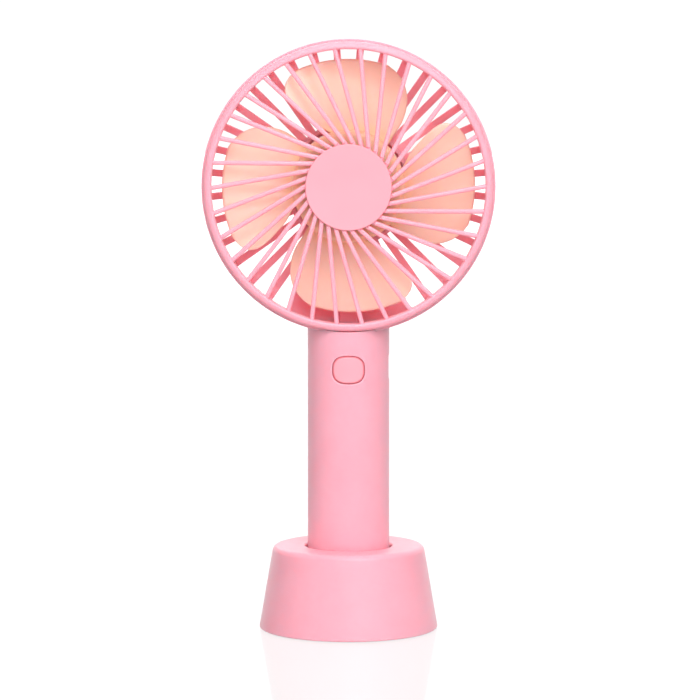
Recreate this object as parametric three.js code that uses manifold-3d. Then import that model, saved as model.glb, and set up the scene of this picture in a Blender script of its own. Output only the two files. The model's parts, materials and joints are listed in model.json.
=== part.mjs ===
// Handheld electric fan standing in its round base.
// Millimetres, +Z up. The origin is on the ground under the middle of the base, and the fan faces -Y.
// Pieces of the head and the rotor are modelled about the head's centre, with the fan's axis along Y.

import * as THREE from 'three';
import { mergeVertices } from 'three/addons/utils/BufferGeometryUtils.js';
import Module from 'manifold-3d';

const wasm = await Module();
wasm.setup();

// ---------------------------------------------------------------- driving dimensions

const GAP = 0.3; // air between neighbouring pieces
const RUNNING = 0.08; // radial clearance of the shaft in its bushes

const HEAD_Z = 160; // height of the fan's axis
const HEAD_R = 52.2; // outside of the rear grille's wall
const RIM_Y = -11.1; // front edge of the rear grille
const BACK_Y = 13; // rear face of the rear grille
const BOWL_WALL = 2.2;
const BOWL_CORNER = 7; // outside radius between the wall and the back
const REAR_RIBS = 36;
const REAR_RIB_WIDTH = 2.6;
const MOTOR_CUP_R = 22;

const RING_OUTER_R = 51.3; // front grille
const RING_INNER_R = 48.3;
const RING_FRONT_Y = -15.5;
const FRONT_RIBS = 34;
const FRONT_RIB_WIDTH = 1.6;
const FRONT_RIB_OFFSET = 8.25; // how far each rib's line passes from the fan's axis
const FRONT_RIB_PHASE = -4.85; // degrees
const GRILLE_HUB_R = 15.25;
const GRILLE_HUB_FRONT_Y = -16.2;
const DISC_FRONT_Y = -17; // disc that covers the hub's front

const BLADES = 4;
const HUB_R = 20; // impeller
const HUB_FRONT_Y = -11;
const HUB_REAR_Y = 4.5;
const SHAFT_R = 1;
const MOTOR_R = 12.2;
const MOTOR_FRONT_Y = -3.2;
const MOTOR_RIM_Y = 7.6; // rear edge of the motor's can
const MOTOR_REAR_Y = 9;
const MOTOR_SCREWS_X = [6, -6];
const POLES = [90, 210, 330]; // degrees clockwise from the top

const HANDLE_R = 14.75;
const HANDLE_WALL = 2;
const HANDLE_BOTTOM = 12.8;
const HANDLE_TOP = 111.4;
const NECK_R = 12.2; // tube under the bowl that plugs into the handle
const NECK_BOTTOM = 100.6;
const NECK_SCREW_Z = 101;
const SHELL_SCREW_Z = 84.4;

const BUTTON = { z: 95, halfWidth: 5.35, halfHeight: 4.6, groove: 0.45, lip: 0.7, exponent: 2.7 };
const PORT = { z: 95, halfHeight: 3.8, halfDepth: 1.35, wall: 0.4, from: 8.2, to: 13.9 };
const BOARD = { front: -2.85, rear: -1.65, halfWidth: 7.5, bottom: 90.9, top: 104.6 };

const CAP = { bottom: 4.8, top: 12.5, skirtR: 12.4, skirtTop: 18.6, boreR: 10.4, floor: 7.3 };
const LUG = { halfWidth: 2, reach: 13.3, from: 16, to: 18, restAngle: 45 };
const CELL = { radius: 9.1, bottom: 15.5, top: 80.1, nubR: 3.2, nubTop: 80.5 };
const SPRING = { from: 8.9, to: 14.7, wideR: 7, narrowR: 3.6, wire: 0.5, turns: 4 };

const BASE = { bottomR: 32.2, shoulderR: 27.6, shoulderZ: 27.5, height: 30.3, rim: 0.4, shoulder: 2.8 };
const SOCKET = { radius: 15.5, wall: 1.8, floor: 4.4, underside: 3.1, lip: 1 };
const PLATE = { radius: 29.9, bottom: 1.2, top: 2.8 };
const FOOT = { inner: 25.2, outer: 28.8, top: 0.9 };
const BASE_SCREWS = { count: 3, radius: 21.4, bossR: 3 };

const HEAD_STEPS = 36; // facets round each kind of piece
const HANDLE_STEPS = 32;
const BASE_STEPS = 36;
const MOTOR_STEPS = 24;
const BUSH_STEPS = 16;
const SMALL_STEPS = 12;

// ---------------------------------------------------------------- solids

const DEGREE = Math.PI / 180;

// A closed body from a geometry: shared corners, no slivers, faces out.
function solid(source) {
  const bare = source.clone();
  bare.deleteAttribute('normal');
  bare.deleteAttribute('uv');
  const merged = mergeVertices(bare, 1e-4);
  const position = merged.getAttribute('position');
  const index = merged.getIndex().array;
  const corners = [];
  for (let i = 0; i < index.length; i += 3) {
    const [a, b, c] = [index[i], index[i + 1], index[i + 2]];
    if (a !== b && b !== c && c !== a) corners.push([a, b, c]);
  }
  const point = (i) => new THREE.Vector3().fromBufferAttribute(position, i);
  const volume = corners.reduce((sum, [a, b, c]) => sum + point(a).dot(point(b).cross(point(c))), 0);
  const facing = volume < 0 ? corners.map(([a, b, c]) => [a, c, b]) : corners;
  return new wasm.Manifold(new wasm.Mesh({
    numProp: 3,
    vertProperties: new Float32Array(position.array),
    triVerts: new Uint32Array(facing.flat()),
  }));
}

function geometryOf(body) {
  const mesh = body.getMesh();
  const geometry = new THREE.BufferGeometry();
  geometry.setAttribute('position', new THREE.BufferAttribute(mesh.vertProperties, 3));
  geometry.setIndex(new THREE.BufferAttribute(mesh.triVerts, 1));
  geometry.computeVertexNormals();
  return geometry;
}

// Points of an arc in a [radius, height] profile or an [x, z] outline.
function arc(centreA, centreB, radius, from, to, steps) {
  return Array.from({ length: steps + 1 }, (_, i) => {
    const angle = (from + (to - from) * i / steps) * DEGREE;
    return [centreA + radius * Math.cos(angle), centreB + radius * Math.sin(angle)];
  });
}

// A body of revolution about Y or Z. The profile's points are [radius, height along the axis].
function revolve(profile, steps, axis = 'z', centre = [0, 0, 0]) {
  const onAxis = profile[0][0] === 0 && profile.at(-1)[0] === 0;
  const loop = onAxis ? profile : [...profile, profile[0]];
  const geometry = new THREE.LatheGeometry(loop.map(([r, h]) => new THREE.Vector2(r, h)), steps);
  if (axis === 'z') geometry.rotateX(Math.PI / 2);
  geometry.translate(...centre);
  return solid(geometry);
}

function rod(radius, from, to, axis, centre = [0, 0, 0], steps = SMALL_STEPS) {
  return revolve([[0, from], [radius, from], [radius, to], [0, to]], steps, axis, centre);
}

function tube(inner, outer, from, to, axis, steps, centre = [0, 0, 0]) {
  return revolve([[inner, from], [outer, from], [outer, to], [inner, to]], steps, axis, centre);
}

// A box between two corners, turned about Z by an angle in degrees.
function block([x0, x1], [y0, y1], [z0, z1], turn = 0) {
  const geometry = new THREE.BoxGeometry(x1 - x0, y1 - y0, z1 - z0);
  geometry.translate((x0 + x1) / 2, (y0 + y1) / 2, (z0 + z1) / 2);
  geometry.rotateZ(turn * DEGREE);
  return solid(geometry);
}

// An outline of [x, z] points, drawn out along Y and turned about Y by an angle in degrees.
function prism(outline, from, to, turn = 0) {
  const shape = new THREE.Shape(outline.map(([x, z]) => new THREE.Vector2(x, z)));
  const geometry = new THREE.ExtrudeGeometry(shape, { depth: to - from, bevelEnabled: false });
  geometry.rotateX(Math.PI / 2);
  geometry.translate(0, to, 0);
  geometry.rotateY(turn * DEGREE);
  return solid(geometry);
}

// A round wire along a smooth curve.
function wire(points, radius, steps, sides = 8) {
  const path = new THREE.CatmullRomCurve3(points.map((p) => new THREE.Vector3(...p)), false, 'centripetal');
  const section = arc(0, 0, radius, 0, 360 - 360 / sides, sides - 1);
  const shape = new THREE.Shape(section.map(([x, y]) => new THREE.Vector2(x, y)));
  return solid(new THREE.ExtrudeGeometry(shape, { steps, extrudePath: path, bevelEnabled: false }));
}

function join(first, ...others) {
  return others.reduce((body, other) => body.add(other), first);
}

function cut(first, ...others) {
  return others.reduce((body, other) => body.subtract(other), first);
}

// A pan-head screw along Y: its head is at the larger height.
function screw(tip, seat, headHeight, centre, shankR = 1.1, headR = 2.2) {
  const top = seat + headHeight;
  return revolve([
    [0, tip], [shankR * 0.5, tip], [shankR, tip + shankR], [shankR, seat], [headR, seat],
    [headR, top - headHeight * 0.35], [headR * 0.85, top], [0, top],
  ], SMALL_STEPS, 'y', centre);
}

// ---------------------------------------------------------------- materials and the scene graph

function finish(color, roughness, metalness = 0) {
  return new THREE.MeshStandardMaterial({ color, roughness, metalness });
}

const PINK = ['#fbb9cb', 0.38];
const PALE_PINK = ['#fdc3d2', 0.34];
const PEACH = ['#f9cdb8', 0.4];
const STEEL = ['#b9bcc2', 0.35, 0.9];
const BRONZE = ['#b07b3c', 0.4, 0.9];
const COPPER = ['#c26f3a', 0.35, 0.9];
const NICKEL = ['#c9c9c4', 0.3, 0.9];
const FERRITE = ['#38383b', 0.8];
const DARK_PLASTIC = ['#26262a', 0.55];
const WHITE_PLASTIC = ['#e9e7e2', 0.5];
const BOARD_GREEN = ['#1f6b3e', 0.45];
const RUBBER = ['#f1e3e6', 0.85];
const CELL_SLEEVE = ['#5aa9c9', 0.45];
const LEAD_RED = ['#b3202a', 0.5];
const LEAD_BLACK = ['#1d1d20', 0.5];

const object = new THREE.Group();
const stand = new THREE.Group();
const fan = new THREE.Group();
const head = new THREE.Group();
const rotor = new THREE.Group();
const button = new THREE.Group();
const endCap = new THREE.Group();
object.add(stand, fan);
fan.add(head, button, endCap);
head.add(rotor);
head.position.z = HEAD_Z;

function place(group, name, body, look) {
  const mesh = new THREE.Mesh(geometryOf(body), finish(...look));
  mesh.name = name;
  group.add(mesh);
}

// ---------------------------------------------------------------- stand

function baseShell() {
  const { bottomR, shoulderR, shoulderZ, height, rim, shoulder } = BASE;
  const socketOuter = SOCKET.radius + SOCKET.wall;
  const ceiling = height - 2.4;
  const shell = revolve([
    [0, SOCKET.floor], [SOCKET.radius, SOCKET.floor],
    ...arc(SOCKET.radius + SOCKET.lip, height - SOCKET.lip, SOCKET.lip, 180, 90, 2),
    ...arc(shoulderR - shoulder, shoulderZ, shoulder, 90, 10, 3),
    [bottomR, rim + 0.5], [bottomR - 0.5, rim], [PLATE.radius + GAP, rim],
    [PLATE.radius + GAP, SOCKET.underside], [PLATE.radius - 1, SOCKET.underside],
    [shoulderR - 2.2, ceiling], [socketOuter, ceiling], [socketOuter, SOCKET.underside],
    [0, SOCKET.underside],
  ], BASE_STEPS);
  const bosses = screwPlaces().map((at) => rod(BASE_SCREWS.bossR, SOCKET.underside, ceiling + 1, 'z', at));
  const pilots = screwPlaces().map((at) => rod(1.4, SOCKET.underside - 1, 12, 'z', at));
  return cut(join(shell, ...bosses), ...pilots);
}

function screwPlaces() {
  return Array.from({ length: BASE_SCREWS.count }, (_, i) => {
    const angle = (90 + i * 360 / BASE_SCREWS.count) * DEGREE;
    return [BASE_SCREWS.radius * Math.cos(angle), BASE_SCREWS.radius * Math.sin(angle), 0];
  });
}

function bottomPlate() {
  const plate = rod(PLATE.radius, PLATE.bottom, PLATE.top, 'z', [0, 0, 0], BASE_STEPS);
  const holes = screwPlaces().map((at) => rod(1.4, 0, PLATE.top + 1, 'z', at));
  const recesses = screwPlaces().map((at) => rod(2.6, 0, 2, 'z', at));
  return cut(plate, ...holes, ...recesses);
}

function baseScrew([x, y]) {
  const [headTop, seat, tip] = [0.8, 1.7, 9];
  return revolve([
    [0, headTop], [1.9, headTop], [2.2, 1.1], [2.2, seat], [1.1, seat], [1.1, tip - 1], [0.5, tip], [0, tip],
  ], SMALL_STEPS, 'z', [x, y, 0]);
}

place(stand, 'base_shell', baseShell(), PINK);
place(stand, 'base_bottom_plate', bottomPlate(), PINK);
place(stand, 'foot_pad', tube(FOOT.inner, FOOT.outer, 0, FOOT.top, 'z', BASE_STEPS), RUBBER);
screwPlaces().forEach((at, i) => place(stand, `base_screw_${i + 1}`, baseScrew(at), STEEL));

// ---------------------------------------------------------------- rear grille

// Everything inside the bowl's outer surface grown by an amount, as one body about an axis at a height.
function bowlFilled(growth, axisZ = 0) {
  const corner = BOWL_CORNER + growth;
  const centreR = HEAD_R - BOWL_CORNER;
  const centreY = BACK_Y - BOWL_CORNER;
  return revolve([
    [0, RIM_Y - growth], [HEAD_R + growth, RIM_Y - growth],
    ...arc(centreR, centreY, corner, 0, 90, 3), [0, BACK_Y + growth],
  ], HEAD_STEPS, 'y', [0, 0, axisZ]);
}

function bowl() {
  const centreR = HEAD_R - BOWL_CORNER;
  const centreY = BACK_Y - BOWL_CORNER;
  const [stepInner, stepOuter, plateY, plate] = [25, 27, 11.3, 2];
  return revolve([
    [0, plateY - plate], [stepInner - 0.7, plateY - plate], [stepOuter - 0.7, BACK_Y - plate],
    ...arc(centreR, centreY, BOWL_CORNER - BOWL_WALL, 90, 0, 2), [HEAD_R - BOWL_WALL, RIM_Y], [HEAD_R, RIM_Y],
    ...arc(centreR, centreY, BOWL_CORNER, 0, 90, 3), [stepOuter, BACK_Y], [stepInner, plateY], [0, plateY],
  ], HEAD_STEPS, 'y');
}

// The air between two neighbouring radial ribs, out to a radius.
function rearSlot(number, outerR) {
  const half = 180 / REAR_RIBS * DEGREE;
  const edge = (r) => r * Math.tan(half) - REAR_RIB_WIDTH / 2 / Math.cos(half);
  const inner = MOTOR_CUP_R + 0.6;
  const outline = [
    [-edge(inner), inner], [edge(inner), inner], [edge(outerR), outerR], [-edge(outerR), outerR],
  ];
  return prism(outline, 2, BACK_Y + 1, number * 360 / REAR_RIBS);
}

function rearSlots() {
  const [solidFrom, solidR] = [155, 43.9];
  return Array.from({ length: REAR_RIBS }, (_, i) => {
    const fromTop = Math.abs((i * 360 / REAR_RIBS + 180) % 360 - 180);
    return rearSlot(i, fromTop > solidFrom ? solidR : HEAD_R + 2);
  });
}

// The tube under the bowl, open to the leads and clear of the front grille.
function neckTube() {
  const [wall, top] = [2.6, 112];
  return cut(
    tube(NECK_R - wall, NECK_R, NECK_BOTTOM - HEAD_Z, top - HEAD_Z, 'z', HANDLE_STEPS),
    bowlFilled(-1),
    rod(HEAD_R - 1, RIM_Y - 2, 0, 'y', [0, 0, 0], HEAD_STEPS),
    block([-20, 20], [-20, RIM_Y], [106 - HEAD_Z, top + 1 - HEAD_Z]),
  );
}

function rearGrille() {
  const neckScrewAt = [0, 0, NECK_SCREW_Z - HEAD_Z];
  const ductBlock = block([-3.45, 3.45], [5.7, BACK_Y - 0.5], [-HEAD_R, -MOTOR_CUP_R + 1]);
  const duct = ductBlock.intersect(bowlFilled(-0.5));
  const neckBoss = rod(2.2, 5, 10.5, 'y', neckScrewAt);
  const motorRing = tube(MOTOR_R + 0.4, MOTOR_R + 2, 3, 10, 'y', MOTOR_STEPS);
  const cupRim = tube(MOTOR_CUP_R - 1.4, MOTOR_CUP_R, 7, 10, 'y', HEAD_STEPS);
  const leadTunnel = block([-1.9, 1.9], [6.9, 8.9], [-61, -MOTOR_CUP_R + 2.5]);
  const leadNotch = block([-2.6, 2.6], [2, 9.3], [-15, -11]);
  const neckPilot = rod(1.4, 4, 13, 'y', neckScrewAt);
  const motorHoles = MOTOR_SCREWS_X.map((x) => rod(1.2, 9, 12, 'y', [x, 0, 0]));
  const motorScrewSeats = MOTOR_SCREWS_X.map((x) => rod(2, 10.4, 12, 'y', [x, 0, 0]));
  const whole = join(cut(bowl(), ...rearSlots()), neckTube(), duct, neckBoss, motorRing, cupRim);
  return cut(whole, leadTunnel, leadNotch, neckPilot, ...motorHoles, ...motorScrewSeats);
}

place(head, 'rear_grille', rearGrille(), PINK);

// ---------------------------------------------------------------- front grille

function frontRib(number) {
  const half = FRONT_RIB_WIDTH / 2;
  const [from, to] = [11.2, 49.2];
  const [frontAtHub, rise] = [-16.5, 0.0375];
  const section = new THREE.Shape([
    [-half * 0.45, 0], [half * 0.45, 0], [half, 0.6], [half, 2.2], [-half, 2.2], [-half, 0.6],
  ].map(([x, y]) => new THREE.Vector2(x, y)));
  const geometry = new THREE.ExtrudeGeometry(section, { depth: to - from, bevelEnabled: false });
  geometry.translate(FRONT_RIB_OFFSET, frontAtHub, from);
  const slope = new THREE.Matrix4().set(1, 0, 0, 0, 0, 1, rise, -rise * from, 0, 0, 1, 0, 0, 0, 0, 1);
  geometry.applyMatrix4(slope);
  geometry.rotateY((FRONT_RIB_PHASE + number * 360 / FRONT_RIBS) * DEGREE);
  return solid(geometry);
}

function frontGrille() {
  const front = RING_FRONT_Y;
  const ring = revolve([
    [RING_INNER_R, front + 2], [RING_INNER_R + 0.4, front + 0.6], [RING_INNER_R + 1.2, front],
    [RING_OUTER_R - 1.1, front + 0.1], [RING_OUTER_R - 0.2, front + 0.9], [RING_OUTER_R, front + 2],
    [RING_OUTER_R, RIM_Y - GAP], [HEAD_R - BOWL_WALL - GAP, RIM_Y - GAP], [HEAD_R - BOWL_WALL - GAP, -9.2],
    [RING_INNER_R + 0.6, -9.2], [RING_INNER_R, -10.5],
  ], HEAD_STEPS, 'y');
  const hub = rod(GRILLE_HUB_R, GRILLE_HUB_FRONT_Y, GRILLE_HUB_FRONT_Y + 1.6, 'y', [0, 0, 0], HEAD_STEPS);
  const discSeat = rod(GRILLE_HUB_R + GAP, front - 3, GRILLE_HUB_FRONT_Y, 'y', [0, 0, 0], HEAD_STEPS);
  const ribs = Array.from({ length: FRONT_RIBS }, (_, i) => frontRib(i));
  return cut(join(ring, hub, ...ribs), discSeat);
}

function centreDisc() {
  const [radius, front, back] = [GRILLE_HUB_R, DISC_FRONT_Y, GRILLE_HUB_FRONT_Y - GAP];
  return revolve([
    [0, front - 0.05], [radius - 0.5, front], [radius, front + 0.3], [radius, back], [0, back],
  ], HEAD_STEPS, 'y');
}

place(head, 'front_grille', frontGrille(), PINK);
place(head, 'centre_disc', centreDisc(), PALE_PINK);

// ---------------------------------------------------------------- motor

// A curved magnet on one side of the rotor.
function magnet(turn) {
  const [inner, outer, spread] = [9.9, MOTOR_R - 1.1, 55];
  const outline = [...arc(0, 0, outer, -spread, spread, 8), ...arc(0, 0, inner, spread, -spread, 8)];
  return prism(outline, -2, 5.2, turn);
}

function motorCan() {
  const [bore, bossR, wall] = [2.9, 4, 0.8];
  return revolve([
    [bore, MOTOR_FRONT_Y - 1.4], [bossR, MOTOR_FRONT_Y - 1.4], [bossR, MOTOR_FRONT_Y],
    [MOTOR_R - 0.6, MOTOR_FRONT_Y], [MOTOR_R, MOTOR_FRONT_Y + 0.6], [MOTOR_R, MOTOR_RIM_Y],
    [MOTOR_R - wall, MOTOR_RIM_Y], [MOTOR_R - wall, MOTOR_FRONT_Y + wall], [bore, MOTOR_FRONT_Y + wall],
  ], MOTOR_STEPS, 'y');
}

function endBell() {
  const [bore, plugR] = [2.9, 11.1];
  const bell = revolve([
    [bore, 5.6], [plugR, 5.6], [plugR, MOTOR_RIM_Y + GAP], [MOTOR_R, MOTOR_RIM_Y + GAP],
    [MOTOR_R, MOTOR_REAR_Y], [bore, MOTOR_REAR_Y],
  ], MOTOR_STEPS, 'y');
  return cut(bell, ...MOTOR_SCREWS_X.map((x) => rod(1.2, 5, 10, 'y', [x, 0, 0])));
}

function bush(from, to) {
  const boreR = (SHAFT_R + RUNNING) / Math.cos(Math.PI / BUSH_STEPS);
  return tube(boreR, 2.6, from, to, 'y', BUSH_STEPS);
}

place(head, 'motor_can', motorCan(), STEEL);
place(head, 'motor_end_bell', endBell(), WHITE_PLASTIC);
place(head, 'motor_magnet_right', magnet(0), FERRITE);
place(head, 'motor_magnet_left', magnet(180), FERRITE);
place(head, 'motor_front_bush', bush(-4.4, -2), BRONZE);
place(head, 'motor_rear_bush', bush(5.8, 8.7), BRONZE);
place(head, 'motor_brush_right', block([2.7, 3], [4, 5.3], [-6, 3]), COPPER);
place(head, 'motor_brush_left', block([-3, -2.7], [4, 5.3], [-3, 6]), COPPER);
['right', 'left'].forEach((side, i) => {
  place(head, `motor_screw_${side}`, screw(6, 10.7, 0.9, [MOTOR_SCREWS_X[i], 0, 0], 0.9, 1.7), STEEL);
});

// ---------------------------------------------------------------- rotor

// One blade: [radius, trailing edge, leading edge], angles in degrees clockwise from the blade's middle.
const BLADE_EDGES = [
  [19.3, -17, 45], [24.4, -28, 42.3], [30.3, -32.5, 40], [36.2, -34.5, 35.5],
  [40.6, -33.7, 30], [43.6, -30, 24], [45.2, -24, 18],
];

function blade(number) {
  const [columns, pitchPerDegree, middleY, middleAngle] = [6, 0.168, -2.9, 4.5];
  const points = [];
  const thicknessAt = (u, v) => 0.35 + 0.4 * Math.min(1, 3 * Math.min(v, 1 - v)) * Math.min(1, 3 * (1 - u));
  BLADE_EDGES.forEach(([r, trailing, leading], row) => {
    for (let column = 0; column <= columns; column++) {
      const v = column / columns;
      const angle = trailing + (leading - trailing) * v;
      const y = middleY + (angle - middleAngle) * pitchPerDegree;
      const half = thicknessAt(row / (BLADE_EDGES.length - 1), v);
      const turn = (angle + number * 360 / BLADES) * DEGREE;
      points.push([r * Math.sin(turn), y - half, r * Math.cos(turn)]);
      points.push([r * Math.sin(turn), y + half, r * Math.cos(turn)]);
    }
  });
  const at = (row, column, side) => (row * (columns + 1) + column) * 2 + side;
  const index = [];
  const quad = (a, b, c, d) => index.push(a, b, c, a, c, d);
  const rows = BLADE_EDGES.length - 1;
  for (let row = 0; row < rows; row++) {
    for (let column = 0; column < columns; column++) {
      quad(at(row, column, 0), at(row + 1, column, 0), at(row + 1, column + 1, 0), at(row, column + 1, 0));
      quad(at(row, column, 1), at(row, column + 1, 1), at(row + 1, column + 1, 1), at(row + 1, column, 1));
    }
    quad(at(row, 0, 0), at(row, 0, 1), at(row + 1, 0, 1), at(row + 1, 0, 0));
    quad(at(row, columns, 0), at(row + 1, columns, 0), at(row + 1, columns, 1), at(row, columns, 1));
  }
  for (let column = 0; column < columns; column++) {
    quad(at(0, column, 0), at(0, column + 1, 0), at(0, column + 1, 1), at(0, column, 1));
    quad(at(rows, column, 0), at(rows, column, 1), at(rows, column + 1, 1), at(rows, column + 1, 0));
  }
  const geometry = new THREE.BufferGeometry();
  geometry.setAttribute('position', new THREE.Float32BufferAttribute(points.flat(), 3));
  geometry.setIndex(index);
  return solid(geometry);
}

function impeller() {
  const wall = 1.6;
  const cup = revolve([
    [0, HUB_FRONT_Y], [HUB_R - 2, HUB_FRONT_Y], [HUB_R - 0.6, HUB_FRONT_Y + 0.6], [HUB_R, HUB_FRONT_Y + 2],
    [HUB_R, HUB_REAR_Y], [HUB_R - wall, HUB_REAR_Y], [HUB_R - wall, HUB_FRONT_Y + wall],
    [3.2, HUB_FRONT_Y + wall], [3.2, -5], [0, -5],
  ], HANDLE_STEPS, 'y');
  const blades = Array.from({ length: BLADES }, (_, i) => blade(i));
  return cut(join(cup, ...blades), rod(SHAFT_R + GAP, -10.2, -4, 'y'));
}

function rotorCore() {
  const [reach, stem, tipSpread, from, to] = [9.3, 1.5, 48, -0.6, 2.6];
  const tipOuter = arc(0, 0, reach, -tipSpread, tipSpread, 6);
  const tipInner = arc(0, 0, reach - 1.5, tipSpread, -tipSpread, 6);
  const poles = POLES.flatMap((turn) => [
    prism([[0, -stem], [8.2, -stem], [8.2, stem], [0, stem]], from, to, turn),
    prism([...tipOuter, ...tipInner], from, to, turn),
  ]);
  return cut(join(rod(3.4, from, to, 'y'), ...poles), rod(SHAFT_R + GAP, from - 1, to + 1, 'y'));
}

// A coil wound round one of the core's stems.
function coil(turn) {
  const outside = prism([[4.2, -3], [6.9, -3], [6.9, 3], [4.2, 3]], -1.7, 3.7, turn);
  return cut(outside, prism([[3, -1.8], [9, -1.8], [9, 1.8], [3, 1.8]], -0.9, 2.9, turn));
}

place(rotor, 'impeller', impeller(), PEACH);
place(rotor, 'motor_shaft', rod(SHAFT_R, -9.9, 8.4, 'y', [0, 0, 0], BUSH_STEPS), STEEL);
place(rotor, 'rotor_core', rotorCore(), STEEL);
POLES.forEach((turn, i) => place(rotor, `rotor_coil_${i + 1}`, coil(turn), COPPER));
place(rotor, 'commutator', tube(SHAFT_R + GAP, 2.4, 3.4, 5.2, 'y', SMALL_STEPS), COPPER);

// ---------------------------------------------------------------- handle

function superellipse(halfWidth, halfHeight, exponent, steps) {
  const bend = (value) => Math.sign(value) * Math.abs(value) ** (2 / exponent);
  return Array.from({ length: steps }, (_, i) => {
    const angle = i / steps * 2 * Math.PI;
    return [halfWidth * bend(Math.cos(angle)), BUTTON.z + halfHeight * bend(Math.sin(angle))];
  });
}

function buttonOutline(growth) {
  return superellipse(BUTTON.halfWidth + growth, BUTTON.halfHeight + growth, BUTTON.exponent, 20);
}

// The whole handle tube before it is split into its two shells.
function handleTube() {
  const inner = HANDLE_R - HANDLE_WALL;
  const [groove, grooveR, neckBore] = [LUG.from - 0.4, LUG.reach + GAP, NECK_R + GAP];
  const lead = [[HANDLE_R, HANDLE_TOP - 1.9], [14.2, HANDLE_TOP - 0.6], [12.9, HANDLE_TOP]];
  const outside = [[HANDLE_R, HANDLE_BOTTOM + 0.4], ...lead];
  const inside = [
    [neckBore, HANDLE_TOP], [neckBore, NECK_BOTTOM - 0.2], [inner, NECK_BOTTOM - 0.4],
    [inner, LUG.to + 0.4], [grooveR, LUG.to + 0.4], [grooveR, groove], [inner, groove],
    [inner, HANDLE_BOTTOM], [HANDLE_R - 0.4, HANDLE_BOTTOM],
  ];
  return revolve([...outside, ...inside], HANDLE_STEPS);
}

// Rings inside the tube that hold the cell, notched for the strip that runs past it.
function cradleRibs() {
  const [inner, outer, width] = [CELL.radius + 0.4, HANDLE_R - HANDLE_WALL + 0.2, 1.2];
  const notch = block([-12.4, -9], [-4, -0.4], [20, 80]);
  return [30, 50, 70].map((z) => cut(tube(inner, outer, z, z + width, 'z', HANDLE_STEPS), notch));
}

// Stops that the cap's lugs meet in the locked position.
function lugStops() {
  return [26, 206].map((turn) => block([12.6, 13.9], [-1.2, 1.2], [LUG.from - 0.5, LUG.to + 0.5], turn));
}

function wholeHandle() {
  const headSpace = bowlFilled(GAP, HEAD_Z);
  const ringSpace = rod(RING_OUTER_R + 0.5, -20, RIM_Y, 'y', [0, 0, HEAD_Z], HEAD_STEPS);
  const entries = [90, 270].map((turn) => block([12, 13.6], [-2.6, 2.6], [12, LUG.from], turn));
  const [slotDepth, slotHeight] = [PORT.halfDepth + GAP, PORT.halfHeight + GAP];
  const portSlot = block([10, 16], [-slotDepth, slotDepth], [PORT.z - slotHeight, PORT.z + slotHeight]);
  const portFlat = block([HANDLE_R - 0.3, 16], [-4, 4], [PORT.z - 4.35, PORT.z + 4.35]);
  const withRibs = join(handleTube(), ...cradleRibs(), ...lugStops());
  return cut(withRibs, headSpace, ringSpace, ...entries, portSlot, portFlat);
}

function handleShells() {
  const whole = wholeHandle();
  const inner = HANDLE_R - HANDLE_WALL;
  const front = whole.intersect(block([-20, 20], [-20, -GAP / 2], [0, 120]));
  const rear = whole.intersect(block([-20, 20], [GAP / 2, 20], [0, 120]));
  const frontBoss = rod(2.6, -inner - 0.2, -GAP / 2, 'y', [0, 0, SHELL_SCREW_Z]);
  const plug = rod(inner + 0.2, SHELL_SCREW_Z - 2.2, SHELL_SCREW_Z + 2.2, 'z', [0, 0, 0], HANDLE_STEPS);
  const bulkhead = plug.intersect(block([-20, 20], [GAP / 2, 20], [0, 120]));
  const screwHeads = [SHELL_SCREW_Z, NECK_SCREW_Z].map((z) => rod(2.5, 13.3, 16, 'y', [0, 0, z]));
  const screwHoles = [SHELL_SCREW_Z, NECK_SCREW_Z].map((z) => rod(1.4, 0, 16, 'y', [0, 0, z]));
  const frontPilot = rod(1.4, -9.5, 0, 'y', [0, 0, SHELL_SCREW_Z]);
  const buttonHole = prism(buttonOutline(BUTTON.groove), -16, -9);
  return {
    front: cut(join(front, frontBoss), frontPilot, buttonHole),
    rear: cut(join(rear, bulkhead), ...screwHeads, ...screwHoles),
  };
}

function circuitBoard() {
  const { front, rear, halfWidth, bottom, top } = BOARD;
  const main = block([-halfWidth, halfWidth], [front, rear], [bottom, top]);
  const portWing = block([0, 11], [front, rear], [bottom, 99.8]);
  return join(main, portWing);
}

function switchBody() {
  const body = block([-3, 3], [-8.7, BOARD.front - GAP], [BUTTON.z - 3, BUTTON.z + 3]);
  return cut(body, rod(2, -10, -6.9, 'y', [0, 0, BUTTON.z]));
}

function portShell() {
  const { z, halfHeight, halfDepth, wall, from, to } = PORT;
  const outside = block([from, to], [-halfDepth, halfDepth], [z - halfHeight, z + halfHeight]);
  const inside = block([from + wall, to + 1], [-halfDepth + wall, halfDepth - wall],
    [z - halfHeight + wall, z + halfHeight - wall]);
  return cut(outside, inside);
}

function portTongue() {
  return block([8.9, 12.9], [-0.3, 0.4], [PORT.z - 2.9, PORT.z + 2.9]);
}

function cell() {
  return revolve([
    [0, CELL.bottom], [CELL.radius - 0.6, CELL.bottom], [CELL.radius, CELL.bottom + 0.6],
    [CELL.radius, CELL.top - 0.6], [CELL.radius - 0.6, CELL.top], [CELL.nubR, CELL.top],
    [CELL.nubR, CELL.nubTop], [0, CELL.nubTop],
  ], MOTOR_STEPS);
}

function topContact() {
  const under = CELL.nubTop + GAP;
  const plate = block([-5, 8], [-4, 4], [under, under + 0.5]);
  const riser = block([5, 8], [-1.35, -0.95], [under, BOARD.bottom + 1.7]);
  return join(plate, riser);
}

function negativeStrip() {
  const strip = block([-11.4, -11], [-3.4, -0.95], [19.1, 93.5]);
  const boardTab = block([-11.2, -6.4], [-1.35, -0.95], [91.5, 93.5]);
  const capTab = block([-11.2, -9.5], [-3.4, -0.95], [19.1, 19.5]);
  return join(strip, boardTab, capTab);
}

// From the motor down its tunnel and the neck, then forward onto the board.
function motorLead(x) {
  const route = [
    [7.9, 147.4], [7.9, 130], [7.9, 110], [7.9, 106.1], [6.9, 104.95], [5, 104.7], [2, 104.6], [-1, 103.8],
  ];
  return wire(route.map(([y, z]) => [x, y, z]), 0.65, 22, 6);
}

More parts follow.
